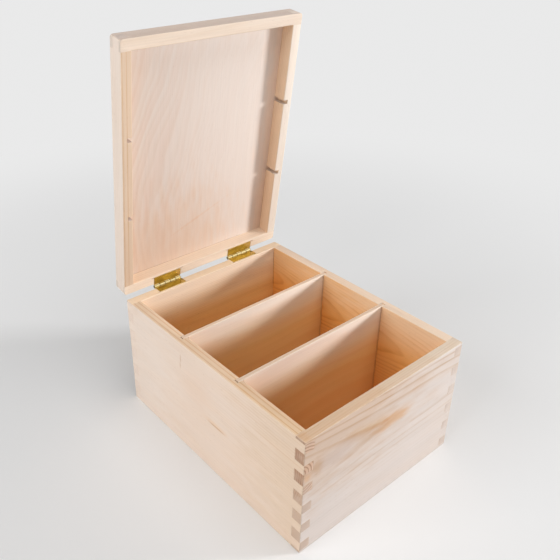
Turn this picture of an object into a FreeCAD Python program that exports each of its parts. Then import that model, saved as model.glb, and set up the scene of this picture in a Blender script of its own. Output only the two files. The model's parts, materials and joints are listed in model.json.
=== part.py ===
import FreeCAD, Part
import os
import Sketcher
from FreeCAD import Placement, Rotation, Vector

# A pine storage box with two dividers and a framed lid on two small brass hinges.
#
# Frame: millimetres, origin at the centre of the underside, +X to the right seen from the
# front, +Y to the rear where the hinges are, +Z up.
#
# The box is drawn where it stands.  The lid and the hinges are drawn closed, about an origin
# on the hinge axis, and are then placed on that axis, so one angle opens the lid.

# Driving dimensions: alias, value, what it is.
SIZES = [
    # case
    ("box_width", 190, "outside, left to right"),
    ("box_depth", 246, "outside, front to rear"),
    ("box_height", 118, "underside to rim, without the lid"),
    ("lid_height", 17.5, "rim of the lid to its top"),
    ("lid_gap", 0.3, "between the two rims when closed"),
    ("lid_open", 82, "angle at which the lid stands, 0 is closed"),
    ("board", 10, "thickness of the pine boards"),
    ("box_round", 1, "rounding of the upright corners of the box"),
    ("lid_round", 3, "rounding of the lid's corners and top edge"),
    ("edge_ease", 0.5, "easing of the other edges"),
    # finger joints
    ("side_finger", 9.2, "height of a finger on the side boards"),
    ("end_finger", 11.6, "height of a finger on the front and rear boards"),
    ("finger_margin", 2.4, "rim to the first finger of the side boards"),
    # plywood sheets in the bottom and in the lid
    ("bottom_ply", 4, "thickness of the bottom"),
    ("lid_ply", 4, "thickness of the lid's sheet"),
    ("sheet_lap", 5, "how far a sheet's recess reaches into the boards"),
    ("sheet_play", 0.1, "gap around a sheet in its recess"),
    # dividers
    ("divider_ply", 4, "thickness of a divider"),
    ("rear_room", 72.667, "clear depth of the rear compartment"),
    ("middle_room", 72.667, "clear depth of the middle compartment"),
    ("groove_depth", 5, "depth of the grooves in the side boards"),
    ("groove_play", 0.05, "gap on each face of a divider in its groove"),
    ("groove_spare", 1, "groove bottom to the end of the divider"),
    # hinges
    ("hinge_length", 31, "length of a leaf and of the barrel"),
    ("hinge_inset", 33.5, "side of the box to the near end of a hinge"),
    ("hinge_stand_off", 3.2, "rear face to the hinge axis"),
    ("leaf_sheet", 0.8, "thickness of the brass sheet"),
    ("leaf_bed_play", 0.2, "gap at each end of a leaf in its bed"),
    ("pin_width", 1.6, "diameter of the hinge pin"),
    ("pin_play", 0.05, "gap around the pin in the knuckles"),
    ("knuckle_play", 0.1, "gap beside each knuckle of the lid leaf"),
    ("knuckle_clear", 0.3, "barrel of one leaf to the plate of the other"),
    ("flange_depth", 6, "rim to the foot of a leaf's flange"),
    ("flange_inset", 1.5, "end of the leaf to the end of its flange"),
    ("kerf_web", 2, "wood between the kerf and the inner face"),
    ("kerf_play", 0.1, "gap on each face of a flange in its kerf"),
    ("kerf_spare", 1, "foot of the flange to the bottom of the kerf"),
    ("kerf_runout", 3.5, "length of kerf past each end of a leaf"),
]

KNUCKLES = 5        # in one hinge: the odd ones on the box leaf, the even ones on the lid leaf
FLARE = 45          # slope of the eased inner edge of a rim, in degrees
PAST = 1.0          # how far a cutting shape runs on past the face that it opens
SAME = 1e-4         # two coordinates closer than this are equal

# Lengths that follow from the driving dimensions.
HALF_WIDTH = "Dims.box_width / 2"
INNER_HALF = f"({HALF_WIDTH} - Dims.board)"
BARREL_RADIUS = "(Dims.pin_width / 2 + Dims.pin_play + Dims.leaf_sheet)"
KNUCKLE = f"(Dims.hinge_length / {KNUCKLES})"
KERF_WIDTH = "(Dims.leaf_sheet + 2 * Dims.kerf_play)"
KERF_DEPTH = "(Dims.flange_depth + Dims.kerf_spare)"
KERF_HALF = "(Dims.hinge_length / 2 + Dims.kerf_runout)"
# The kerf is the segment that a round saw leaves: its chord and depth give the saw's radius.
SAW_RADIUS = f"(({KERF_HALF} ^ 2 + {KERF_DEPTH} ^ 2) / (2 * {KERF_DEPTH}))"
# The foot of the flange ends one kerf_spare short of the saw's arc at each side.
FOOT_HALF = f"(sqrt({SAW_RADIUS} ^ 2 - ({SAW_RADIUS} - Dims.kerf_spare) ^ 2) - Dims.kerf_spare)"
HINGE_X = f"({HALF_WIDTH} - Dims.hinge_inset - Dims.hinge_length / 2)"

doc = FreeCAD.newDocument("sorting_box")
dims = doc.addObject("Spreadsheet::Sheet", "Dims")
for row, (alias, value, meaning) in enumerate(SIZES, start=1):
    dims.set(f"A{row}", meaning)
    dims.set(f"B{row}", str(value))
    dims.setAlias(f"B{row}", alias)
doc.recompute()


def bind(obj, **expressions):
    """Bind properties to the sheet; a double underscore in a name stands for a dot."""
    for name, expression in expressions.items():
        obj.setExpression(name.replace("__", "."), expression)


def plain(obj, expression):
    """The value that an expression has now, as a plain number."""
    value = obj.evalExpression(expression)
    return float(getattr(value, "Value", value))


# ---------------------------------------------------------------- sketches and features

def new_body(name):
    return doc.addObject("PartDesign::Body", name)


def new_sketch(body, name, role, along="0"):
    """A sketch parallel to one of the body's origin planes, moved along its normal."""
    sketch = body.newObject("Sketcher::SketchObject", name)
    plane = next(f for f in body.Origin.OriginFeatures if f.Role == role)
    sketch.AttachmentSupport = [(plane, "")]
    sketch.MapMode = "FlatFace"
    bind(sketch, AttachmentOffset__Base__z=along)
    return sketch


def draw_polygon(sketch, corners):
    """A closed outline; each corner is a pair of expressions, measured from the origin."""
    points = [Vector(plain(sketch, x), plain(sketch, y), 0) for x, y in corners]
    count = len(points)
    first = sketch.GeometryCount
    for i, point in enumerate(points):
        sketch.addGeometry(Part.LineSegment(point, points[(i + 1) % count]), False)
    for i in range(count):
        following = first + (i + 1) % count
        sketch.addConstraint(Sketcher.Constraint("Coincident", first + i, 2, following, 1))
    for i, (point, (x, y)) in enumerate(zip(points, corners)):
        for kind, value, expression in (("DistanceX", point.x, x), ("DistanceY", point.y, y)):
            number = sketch.addConstraint(Sketcher.Constraint(kind, -1, 1, first + i, 1, value))
            sketch.setExpression(f"Constraints[{number}]", expression)


def draw_rectangle(sketch, left, right, low, high):
    draw_polygon(sketch, [(left, low), (right, low), (right, high), (left, high)])


def draw_circle(sketch, radius):
    """A circle about the sketch's origin."""
    middle = Vector(0, 0, 0)
    size = plain(sketch, radius)
    number = sketch.addGeometry(Part.Circle(middle, Vector(0, 0, 1), size), False)
    sketch.addConstraint(Sketcher.Constraint("Coincident", number, 3, -1, 1))
    held = sketch.addConstraint(Sketcher.Constraint("Radius", number, size))
    sketch.setExpression(f"Constraints[{held}]", radius)


def add_pad(body, sketch, length, backwards=False, side="One side"):
    pad = body.newObject("PartDesign::Pad", sketch.Name + "_pad")
    pad.Profile = sketch
    pad.SideType = side
    pad.Reversed = backwards
    bind(pad, Length=length)
    return pad


def add_pocket(body, sketch, depth=None, backwards=False):
    """A pocket of a given depth, or right through both ways; it has to remove material."""
    doc.recompute()
    before = body.Shape.Volume
    pocket = body.newObject("PartDesign::Pocket", sketch.Name + "_pocket")
    pocket.Profile = sketch
    pocket.Reversed = backwards
    if depth is None:
        pocket.Type = "ThroughAll"
        pocket.SideType = "Symmetric"
    else:
        bind(pocket, Length=depth)
    doc.recompute()
    if pocket.Shape.Volume >= before:
        raise RuntimeError(f"{pocket.Name} removes nothing")
    return pocket


def add_row(body, feature, axis, spacing, count, backwards=False):
    """Repeat a feature along an axis of its own sketch."""
    row = body.newObject("PartDesign::LinearPattern", feature.Name + "_row")
    row.Originals = [feature]
    row.Direction = (feature.Profile[0], [axis])
    row.Reversed = backwards
    row.Mode = "Spacing"
    bind(row, Offset=spacing, Occurrences=count)
    body.Tip = row
    return row


def add_fillet(body, name, edges, radius):
    base = body.Tip
    fillet = body.newObject("PartDesign::Fillet", name)
    fillet.Base = (base, edges)
    bind(fillet, Radius=radius)
    body.Tip = fillet
    doc.recompute()
    return fillet


def named_edges(shape):
    return [(f"Edge{i}", edge) for i, edge in enumerate(shape.Edges, start=1)]


def upright_edges(shape):
    return [name for name, edge in named_edges(shape)
            if edge.BoundBox.XLength < SAME and edge.BoundBox.YLength < SAME]


def level_edges(shape, level):
    return [name for name, edge in named_edges(shape)
            if abs(edge.BoundBox.ZMin - level) < SAME and abs(edge.BoundBox.ZMax - level) < SAME]


def block(name, x, y, z):
    """A Part box between pairs of expressions for its low and high sides."""
    box = doc.addObject("Part::Box", name)
    bind(box, Length=f"({x[1]}) - ({x[0]})", Width=f"({y[1]}) - ({y[0]})",
         Height=f"({z[1]}) - ({z[0]})",
         Placement__Base__x=x[0], Placement__Base__y=y[0], Placement__Base__z=z[0])
    return box


# ---------------------------------------------------------------- the two halves of the case

class Half:
    """The box or the lid: four finger-jointed boards around a plywood sheet.

    low is the height of its lowest plane, back the y of its rear face, and both are
    expressions, as are height and sheet.  The rim is the side that meets the other half,
    and the sheet lies flush in the opposite side.
    """

    def __init__(self, name, low, height, back, sheet, rim_is_top):
        self.name = name
        self.low = low
        self.height = height
        self.high = f"({low} + {height})"
        self.back = back
        self.front = f"({back} - Dims.box_depth)"
        self.sheet = sheet
        self.rim_is_top = rim_is_top
        self.rim = self.high if rim_is_top else low
        self.inward = "-1" if rim_is_top else "1"     # from the rim into this half
        self.outline = None

    def from_rim(self, distance):
        """The height that lies this far inside the rim."""
        return f"({self.rim} + {self.inward} * ({distance}))"


def finger_row(half, body, feature):
    """Repeat the fingers nearest the rim over the height of the boards."""
    pitch = "(Dims.side_finger + Dims.end_finger)"
    count = f"floor(({half.height} - Dims.finger_margin) / {pitch}) + 1"
    add_row(body, feature, "V_Axis", pitch, count, backwards=half.rim_is_top)


def finger_span(half):
    """Low and high sides of the side boards' finger nearest the rim."""
    near = half.from_rim("Dims.finger_margin")
    far = half.from_rim("Dims.finger_margin + Dims.side_finger")
    return (far, near) if half.rim_is_top else (near, far)


def end_board(half, name, face):
    """The front or rear board, whose front face is at face, slotted for the side fingers."""
    body = new_body(name + "_board")
    outline = new_sketch(body, name + "_face", "XZ_Plane", f"-({face})")
    draw_rectangle(outline, f"-({HALF_WIDTH})", HALF_WIDTH, half.low, half.high)
    add_pad(body, outline, "Dims.board", backwards=True)
    slots = new_sketch(body, name + "_slots", "XZ_Plane", f"-({face})")
    low, high = finger_span(half)
    past = f"({HALF_WIDTH} + {PAST})"
    draw_rectangle(slots, f"-{past}", f"-{INNER_HALF}", low, high)
    draw_rectangle(slots, INNER_HALF, past, low, high)
    finger_row(half, body, add_pocket(body, slots))
    return body


def groove_spans(half):
    """Front and rear sides of the divider grooves of one half."""
    rear_face = f"({half.back} - Dims.board - Dims.rear_room)"
    front_face = f"({rear_face} - Dims.divider_ply - Dims.middle_room)"
    return [(f"{face} - Dims.divider_ply - Dims.groove_play", f"{face} + Dims.groove_play")
            for face in (rear_face, front_face)]


def side_board(half, name, on_right):
    """The left or right board: fingers at both ends and two grooves across its inner face."""
    body = new_body(name + "_board")
    face = INNER_HALF if on_right else f"-({HALF_WIDTH})"
    inner_face = INNER_HALF if on_right else f"-{INNER_HALF}"
    core_front = f"({half.front} + Dims.board)"
    core_back = f"({half.back} - Dims.board)"
    outline = new_sketch(body, name + "_face", "YZ_Plane", face)
    draw_rectangle(outline, core_front, core_back, half.low, half.high)
    add_pad(body, outline, "Dims.board")
    fingers = new_sketch(body, name + "_fingers", "YZ_Plane", face)
    low, high = finger_span(half)
    draw_rectangle(fingers, half.front, core_front, low, high)
    draw_rectangle(fingers, core_back, half.back, low, high)
    finger_row(half, body, add_pad(body, fingers, "Dims.board"))
    grooves = new_sketch(body, name + "_grooves", "YZ_Plane", inner_face)
    for front, rear in groove_spans(half):
        draw_rectangle(grooves, front, rear, f"{half.low} - {PAST}", f"{half.high} + {PAST}")
    add_pocket(body, grooves, "Dims.groove_depth", backwards=on_right)
    return body


def sanded_outline(half):
    """The outside of one half with its edges rounded, which trims the jointed boards."""
    body = new_body(half.name + "_outline")
    sketch = new_sketch(body, half.name + "_plan", "XY_Plane", half.low)
    draw_rectangle(sketch, f"-({HALF_WIDTH})", HALF_WIDTH, half.front, half.back)
    pad = add_pad(body, sketch, half.height)
    doc.recompute()
    low, high = plain(sketch, half.low), plain(sketch, half.high)
    if half.rim_is_top:
        add_fillet(body, half.name + "_corners", upright_edges(pad.Shape), "Dims.box_round")
        eased = level_edges(body.Shape, low) + level_edges(body.Shape, high)
    else:
        rounded = upright_edges(pad.Shape) + level_edges(pad.Shape, high)
        add_fillet(body, half.name + "_corners", rounded, "Dims.lid_round")
        eased = level_edges(body.Shape, low)
    add_fillet(body, half.name + "_easing", eased, "Dims.edge_ease")
    return body


def sheet_recess(half):
    """The step routed into the boards from outside, which takes the plywood sheet."""
    reach = f"({INNER_HALF} + Dims.sheet_lap)"
    front = f"{half.front} + Dims.board - Dims.sheet_lap"
    back = f"{half.back} - Dims.board + Dims.sheet_lap"
    if half.rim_is_top:
        height = (f"{half.low} - {PAST}", f"{half.low} + {half.sheet}")
    else:
        height = (f"{half.high} - {half.sheet}", f"{half.high} + {PAST}")
    return block(half.name + "_recess", (f"-{reach}", reach), (front, back), height)


def eased_mouth(half):
    """A flared block that takes the sharp inner edge off the rim."""
    body = new_body(half.name + "_mouth")
    sketch = new_sketch(body, half.name + "_mouth_plan", "XY_Plane",
                        half.from_rim("Dims.edge_ease"))
    draw_rectangle(sketch, f"-{INNER_HALF}", INNER_HALF,
                   f"{half.front} + Dims.board", f"{half.back} - Dims.board")
    pad = add_pad(body, sketch, "2 * Dims.edge_ease", backwards=not half.rim_is_top)
    pad.TaperAngle = FLARE
    return body


def hinge_cuts(half, side):
    """The shallow bed of one leaf in the rim, and the saw kerf that holds its flange."""
    name = f"{half.name}_{side}_hinge"
    middle = f"({HINGE_X})" if side == "right" else f"-({HINGE_X})"
    reach = "(Dims.hinge_length / 2 + Dims.leaf_bed_play)"
    kerf_front = f"({half.back} - Dims.board + Dims.kerf_web)"
    floor = half.from_rim("Dims.leaf_sheet")
    past = half.from_rim(f"-{PAST}")
    bed = block(name + "_bed", (f"{middle} - {reach}", f"{middle} + {reach}"),
                (kerf_front, f"{half.back} + {PAST}"),
                (floor, past) if half.rim_is_top else (past, floor))
    kerf = doc.addObject("Part::Cylinder", name + "_kerf")
    kerf.Placement = Placement(Vector(0, 0, 0), Rotation(Vector(1, 0, 0), -90))
    bind(kerf, Radius=SAW_RADIUS, Height=KERF_WIDTH, Placement__Base__x=middle,
         Placement__Base__y=kerf_front,
         Placement__Base__z=half.from_rim(f"{KERF_DEPTH} - {SAW_RADIUS}"))
    return [bed, kerf]


def finished_board(half, name, body, cutters):
    """A jointed board, trimmed to the sanded outline and cut by the shared cutters."""
    trimmed = doc.addObject("Part::Common", name + "_trimmed")
    trimmed.Base = body
    trimmed.Tool = half.outline
    tool = doc.addObject("Part::MultiFuse", name + "_cutters")
    tool.Shapes = cutters
    board = doc.addObject("Part::Cut", name)
    board.Base = trimmed
    board.Tool = tool
    board.Refine = True
    return board


def make_half(half, names):
    """All boards of one half and its sheet, as a list of finished pieces."""
    front, rear, left, right, sheet = names
    half.outline = sanded_outline(half)
    shared = [sheet_recess(half), eased_mouth(half)]
    hinge = hinge_cuts(half, "left") + hinge_cuts(half, "right")
    rear_face = f"{half.back} - Dims.board"
    boards = [
        finished_board(half, front, end_board(half, front, half.front), shared),
        finished_board(half, rear, end_board(half, rear, rear_face), shared + hinge),
        finished_board(half, left, side_board(half, left, False), shared),
        finished_board(half, right, side_board(half, right, True), shared),
    ]
    return boards + [make_sheet(half, sheet)]


def make_sheet(half, name):
    """The plywood sheet in its recess, flush with the outside."""
    body = new_body(name)
    lower = half.low if half.rim_is_top else f"({half.high} - {half.sheet})"
    sketch = new_sketch(body, name + "_plan", "XY_Plane", lower)
    reach = f"({INNER_HALF} + Dims.sheet_lap - Dims.sheet_play)"
    inset = "(Dims.board - Dims.sheet_lap + Dims.sheet_play)"
    draw_rectangle(sketch, f"-{reach}", reach, f"{half.front} + {inset}",
                   f"{half.back} - {inset}")
    add_pad(body, sketch, half.sheet)
    return body


def make_divider(half, name, groove):
    """A plywood divider on the bottom sheet, its ends in the grooves and its top eased."""
    body = new_body(name)
    reach = f"({INNER_HALF} + Dims.groove_depth - Dims.groove_spare)"
    front = f"{groove[0]} + Dims.groove_play"
    sketch = new_sketch(body, name + "_face", "XZ_Plane", f"-({front})")
    draw_rectangle(sketch, f"-{reach}", reach, f"{half.low} + {half.sheet}", half.high)
    add_pad(body, sketch, "Dims.divider_ply", backwards=True)
    doc.recompute()
    top = plain(sketch, half.high)
    long_edges = [name for name in level_edges(body.Shape, top)
                  if body.Shape.getElement(name).BoundBox.XLength > SAME]
    add_fillet(body, name + "_easing", long_edges, "Dims.edge_ease")
    return body


# ---------------------------------------------------------------- hinges

def make_leaf(name, of_lid):
    """A leaf with its knuckles and flange about the hinge axis, as it lies when closed.

    The plate lies in the bed of its rim, its rear edge is rolled round the pin, and its
    front edge turns into the kerf.
    """
    body = new_body(name)
    sign = "" if of_lid else "-"
    outer = f"{sign}(Dims.lid_gap / 2)"
    inner = f"{sign}(Dims.lid_gap / 2 + Dims.leaf_sheet)"
    foot = f"{sign}(Dims.lid_gap / 2 + Dims.flange_depth)"
    front = "-(Dims.hinge_stand_off + Dims.board - Dims.kerf_web - Dims.kerf_play)"

    plate = new_sketch(body, name + "_plate", "YZ_Plane")
    draw_rectangle(plate, front, "0", outer, inner)
    add_pad(body, plate, "Dims.hinge_length", side="Symmetric")

    barrel = new_sketch(body, name + "_barrel", "YZ_Plane")
    draw_circle(barrel, BARREL_RADIUS)
    add_pad(body, barrel, "Dims.hinge_length", side="Symmetric")

    flange = new_sketch(body, name + "_flange", "XZ_Plane", f"-({front})")
    top_half = "(Dims.hinge_length / 2 - Dims.flange_inset)"
    draw_polygon(flange, [(f"-{top_half}", outer), (top_half, outer),
                          (FOOT_HALF, foot), (f"-{FOOT_HALF}", foot)])
    add_pad(body, flange, "Dims.leaf_sheet", backwards=True)

    bore = new_sketch(body, name + "_bore", "YZ_Plane")
    draw_circle(bore, "Dims.pin_width / 2 + Dims.pin_play")
    add_pocket(body, bore)

    # Gaps where the other leaf's knuckles turn.
    gaps = new_sketch(body, name + "_gaps", "XY_Plane")
    end = "-(Dims.hinge_length / 2)"
    first = f"{end} - Dims.knuckle_play" if of_lid else f"{end} + {KNUCKLE}"
    wide = f"{KNUCKLE} + 2 * Dims.knuckle_play" if of_lid else KNUCKLE
    draw_rectangle(gaps, first, f"{first} + {wide}",
                   f"-({BARREL_RADIUS} + Dims.knuckle_clear)", f"{BARREL_RADIUS} + {PAST}")
    count = (KNUCKLES + 1) // 2 if of_lid else KNUCKLES // 2
    add_row(body, add_pocket(body, gaps), "H_Axis", f"2 * {KNUCKLE}", str(count))
    return body


def make_pin(name):
    pin = doc.addObject("Part::Cylinder", name)
    pin.Placement = Placement(Vector(0, 0, 0), Rotation(Vector(0, 1, 0), 90))
    bind(pin, Radius="Dims.pin_width / 2", Height="Dims.hinge_length")
    return pin


# ---------------------------------------------------------------- assembly

HALF_DEPTH = "Dims.box_depth / 2"
AXIS_Y = f"({HALF_DEPTH} + Dims.hinge_stand_off)"
AXIS_Z = "(Dims.box_height + Dims.lid_gap / 2)"


def place_on_axis(piece, middle="0", opens=True):
    """Put a piece that is drawn about the hinge axis on that axis, opened with the lid."""
    if opens:
        angle = plain(piece, "Dims.lid_open")
        piece.Placement = Placement(Vector(0, 0, 0), Rotation(Vector(1, 0, 0), -angle))
        bind(piece, Placement__Rotation__Angle="-Dims.lid_open")
    bind(piece, Placement__Base__x=middle, Placement__Base__y=AXIS_Y, Placement__Base__z=AXIS_Z)


box = Half("box", "0", "Dims.box_height", HALF_DEPTH, "Dims.bottom_ply", True)
lid = Half("lid", "(Dims.lid_gap / 2)", "Dims.lid_height", "-(Dims.hinge_stand_off)",
           "Dims.lid_ply", False)

pieces = {}
box_names = ("front_wall", "rear_wall", "left_wall", "right_wall", "bottom_panel")
lid_names = ("lid_front_rail", "lid_rear_rail", "lid_left_rail", "lid_right_rail", "lid_panel")
pieces.update(zip(box_names, make_half(box, box_names)))
for name, piece in zip(lid_names, make_half(lid, lid_names)):
    pieces[name] = piece
    place_on_axis(piece)
for name, groove in zip(("rear_divider", "front_divider"), groove_spans(box)):
    pieces[name] = make_divider(box, name, groove)
for side, middle in (("left", f"-{HINGE_X}"), ("right", HINGE_X)):
    for leaf, of_lid in (("box_leaf", False), ("lid_leaf", True)):
        name = f"{side}_hinge_{leaf}"
        pieces[name] = make_leaf(name, of_lid)
        place_on_axis(pieces[name], middle, opens=of_lid)
    name = f"{side}_hinge_pin"
    pieces[name] = make_pin(name)
    place_on_axis(pieces[name], f"{middle} - Dims.hinge_length / 2", opens=False)

doc.recompute()

# ---------------------------------------------------------------- checks and files

for obj in doc.Objects:
    if "Invalid" in obj.State or "Error" in obj.State:
        raise RuntimeError(f"{obj.Name} did not compute: {obj.State}")
for name, piece in pieces.items():
    piece.Label = name
    shape = piece.Shape
    if shape.isNull() or not shape.isValid() or len(shape.Solids) != 1:
        raise RuntimeError(f"{name} is not one valid solid")

os.makedirs("parts", exist_ok=True)
for piece in pieces.values():
    piece.Shape.exportStep(f"parts/{piece.Label}.step")
    print(f"{piece.Label}: {piece.Shape.Volume / 1000:.2f} cm3")
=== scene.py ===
import json
import math

import bmesh
import bpy
from mathutils import Euler, Matrix, Vector

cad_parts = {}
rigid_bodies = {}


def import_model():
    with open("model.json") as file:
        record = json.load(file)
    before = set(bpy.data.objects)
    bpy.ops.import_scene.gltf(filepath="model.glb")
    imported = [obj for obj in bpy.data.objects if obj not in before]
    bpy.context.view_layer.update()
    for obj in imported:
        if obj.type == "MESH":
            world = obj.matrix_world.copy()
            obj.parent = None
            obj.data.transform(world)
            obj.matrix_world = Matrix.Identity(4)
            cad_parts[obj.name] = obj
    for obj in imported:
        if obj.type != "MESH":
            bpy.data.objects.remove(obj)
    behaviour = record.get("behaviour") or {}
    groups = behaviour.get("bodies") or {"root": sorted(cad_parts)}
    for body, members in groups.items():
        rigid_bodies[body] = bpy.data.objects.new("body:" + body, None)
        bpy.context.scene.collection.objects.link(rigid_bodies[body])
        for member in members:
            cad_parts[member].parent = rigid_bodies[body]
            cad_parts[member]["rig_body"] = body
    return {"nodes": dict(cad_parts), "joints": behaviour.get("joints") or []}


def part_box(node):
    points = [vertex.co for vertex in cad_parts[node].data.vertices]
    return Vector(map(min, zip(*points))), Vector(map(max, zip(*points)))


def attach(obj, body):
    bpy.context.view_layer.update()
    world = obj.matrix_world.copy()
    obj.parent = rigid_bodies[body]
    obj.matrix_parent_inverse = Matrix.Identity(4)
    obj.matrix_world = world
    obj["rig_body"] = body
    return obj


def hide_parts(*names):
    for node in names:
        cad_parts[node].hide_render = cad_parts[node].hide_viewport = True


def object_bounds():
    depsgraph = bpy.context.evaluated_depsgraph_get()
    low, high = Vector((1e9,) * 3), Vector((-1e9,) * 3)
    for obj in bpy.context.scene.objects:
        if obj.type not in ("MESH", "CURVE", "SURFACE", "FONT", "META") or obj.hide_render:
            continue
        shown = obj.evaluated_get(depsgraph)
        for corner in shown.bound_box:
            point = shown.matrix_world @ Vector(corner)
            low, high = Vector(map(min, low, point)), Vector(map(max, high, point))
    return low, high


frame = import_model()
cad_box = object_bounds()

# A pine storage box with plywood dividers, its framed lid and two brass hinges.
# Everything is in metres in the frame of the model: +X right, +Y to the rear, +Z up.
# Grain and tool marks are drawn in millimetres on each board, in the board's own directions.

MM = 0.001

BOARD = 10.0                # millimetres: thickness of the walls
DIVIDER_LAP = 5.0           # millimetres of a divider in its groove
SHEET_LAP = 5.0             # millimetres of the lid's sheet in its rails

FLAT_ANGLE = math.radians(0.5)      # facets closer than this are one face
CORNER_ANGLE = math.radians(30)     # edges sharper than this are corners


# ---------------------------------------------------------------- how the pieces lie

HINGE = frame["joints"][0]
AXIS = Vector(HINGE["pos_m"])


def lid_tilt():
    """How far the lid stands open, from the widest face of its sheet."""
    sheet = frame["nodes"]["lid_panel"].data
    widest = max(sheet.polygons, key=lambda face: face.area)
    up = widest.normal if widest.normal.y > 0 else -widest.normal
    return math.atan2(up.y, up.z)


OPENING = Matrix.Rotation(-lid_tilt(), 3, "X")


def on_lid(node):
    return frame["nodes"][node]["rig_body"] == "lid"


def shut_box(node):
    """Lowest and highest corner of a CAD node with the lid shut."""
    points = [vertex.co.copy() for vertex in frame["nodes"][node].data.vertices]
    if on_lid(node):
        points = [OPENING.inverted() @ (point - AXIS) + AXIS for point in points]
    low = Vector(min(point[i] for point in points) for i in range(3))
    high = Vector(max(point[i] for point in points) for i in range(3))
    return low, high


class Seat:
    """How a board lies: x along its grain, y across it, z out of its outer face.

    `out` and `across` are given with the lid shut.  The seat's origin is the middle of the
    outer face, and its size is in millimetres.  The seed sets the board's grain apart.
    """

    def __init__(self, node, out, across, seed=0.0):
        self.seed = seed
        out = Vector(out)
        across = Vector(across)
        grain = across.cross(out)
        low, high = shut_box(node)
        middle = (low + high) / 2
        half = (high - low) / 2
        reach = Vector(abs(half.dot(axis)) for axis in (grain, across, out))
        axes = Matrix((grain, across, out)).transposed()
        origin = middle + out * reach.z
        if on_lid(node):
            axes = OPENING @ axes
            origin = OPENING @ (origin - AXIS) + AXIS
        self.axes = axes
        self.origin = origin
        self.size = 2 * reach / MM
        self.grain = axes.col[0].copy()
        self.across = axes.col[1].copy()
        self.out = axes.col[2].copy()


# ---------------------------------------------------------------- shader trees

def tone(red, green, blue):
    """A colour as a screen shows it, 0 to 255, turned into the linear colour of a shader."""
    def linear(value):
        value = value / 255
        if value <= 0.04045:
            return value / 12.92
        return ((value + 0.055) / 1.055) ** 2.4
    return (linear(red), linear(green), linear(blue), 1.0)


class Graph:
    """Short ways to add nodes to a shader tree.  A value is a number, a tuple or an output."""

    def __init__(self, tree):
        self.tree = tree

    def feed(self, socket, value):
        if isinstance(value, bpy.types.NodeSocket):
            self.tree.links.new(value, socket)
        else:
            socket.default_value = value

    def add(self, kind, values=(), **settings):
        node = self.tree.nodes.new(kind)
        for name, setting in settings.items():
            setattr(node, name, setting)
        for key, value in dict(values).items():
            self.feed(node.inputs[key], value)
        return node

    def math(self, operation, *values, clamp=False):
        node = self.add("ShaderNodeMath", enumerate(values), operation=operation, use_clamp=clamp)
        return node.outputs[0]

    def times(self, first, second, clamp=False):
        return self.math("MULTIPLY", first, second, clamp=clamp)

    def plus(self, first, second):
        return self.math("ADD", first, second)

    def minus(self, first, second, clamp=False):
        return self.math("SUBTRACT", first, second, clamp=clamp)

    def vector(self, operation, *values):
        node = self.add("ShaderNodeVectorMath", enumerate(values), operation=operation)
        number = operation in ("LENGTH", "DOT_PRODUCT")
        return node.outputs["Value" if number else "Vector"]

    def scale(self, vector, amount):
        values = {0: vector, "Scale": amount}
        return self.add("ShaderNodeVectorMath", values, operation="SCALE").outputs[0]

    def stretch(self, place, x, y, z):
        """The place times these: for noise, about so many waves per millimetre each way."""
        return self.vector("MULTIPLY", place, (x, y, z))

    def parts(self, vector):
        return self.add("ShaderNodeSeparateXYZ", {0: vector}).outputs

    def join(self, x, y, z):
        return self.add("ShaderNodeCombineXYZ", {0: x, 1: y, 2: z}).outputs[0]

    def step(self, value, low, high, start=0.0, end=1.0):
        """A soft step: `start` below `low`, `end` above `high`."""
        values = {"Value": value, "From Min": low, "From Max": high, "To Min": start, "To Max": end}
        return self.add("ShaderNodeMapRange", values, interpolation_type="SMOOTHSTEP").outputs[0]

    def mix(self, share, first, second, blend="MIX"):
        node = self.add("ShaderNodeMix", data_type="RGBA", blend_type=blend)
        self.feed(node.inputs[0], share)
        self.feed(node.inputs[6], first)
        self.feed(node.inputs[7], second)
        return node.outputs[2]

    def noise(self, place, scale=1.0, detail=2.0, rough=0.5, colour=False):
        node = self.add("ShaderNodeTexNoise", {"Vector": place, "Scale": scale, "Detail": detail,
                                               "Roughness": rough})
        return node.outputs[1 if colour else 0]

    def use(self, group, **values):
        """Place a shader group.  Underscores in the names stand for spaces."""
        node = self.add("ShaderNodeGroup", node_tree=group)
        for name, value in values.items():
            self.feed(node.inputs[name.replace("_", " ")], value)
        return node.outputs


SOCKETS = {1: "NodeSocketFloat", 3: "NodeSocketVector"}


class Effect(Graph):
    """A shader node group under construction.  `takes` and `gives` map names to defaults."""

    def __init__(self, name, takes, gives):
        tree = bpy.data.node_groups.new(name, "ShaderNodeTree")
        super().__init__(tree)
        for side, table in (("INPUT", takes), ("OUTPUT", gives)):
            for label, default in table.items():
                width = len(default) if isinstance(default, tuple) else 1
                socket = tree.interface.new_socket(name=label, in_out=side,
                                                   socket_type=SOCKETS[width])
                socket.default_value = default
        self.takes = tree.nodes.new("NodeGroupInput").outputs
        self.ends = tree.nodes.new("NodeGroupOutput").inputs

    def give(self, **values):
        for name, value in values.items():
            self.feed(self.ends[name.replace("_", " ")], value)
        return self.tree


# ---------------------------------------------------------------- effects

ORIGIN = (0.0, 0.0, 0.0)


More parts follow.
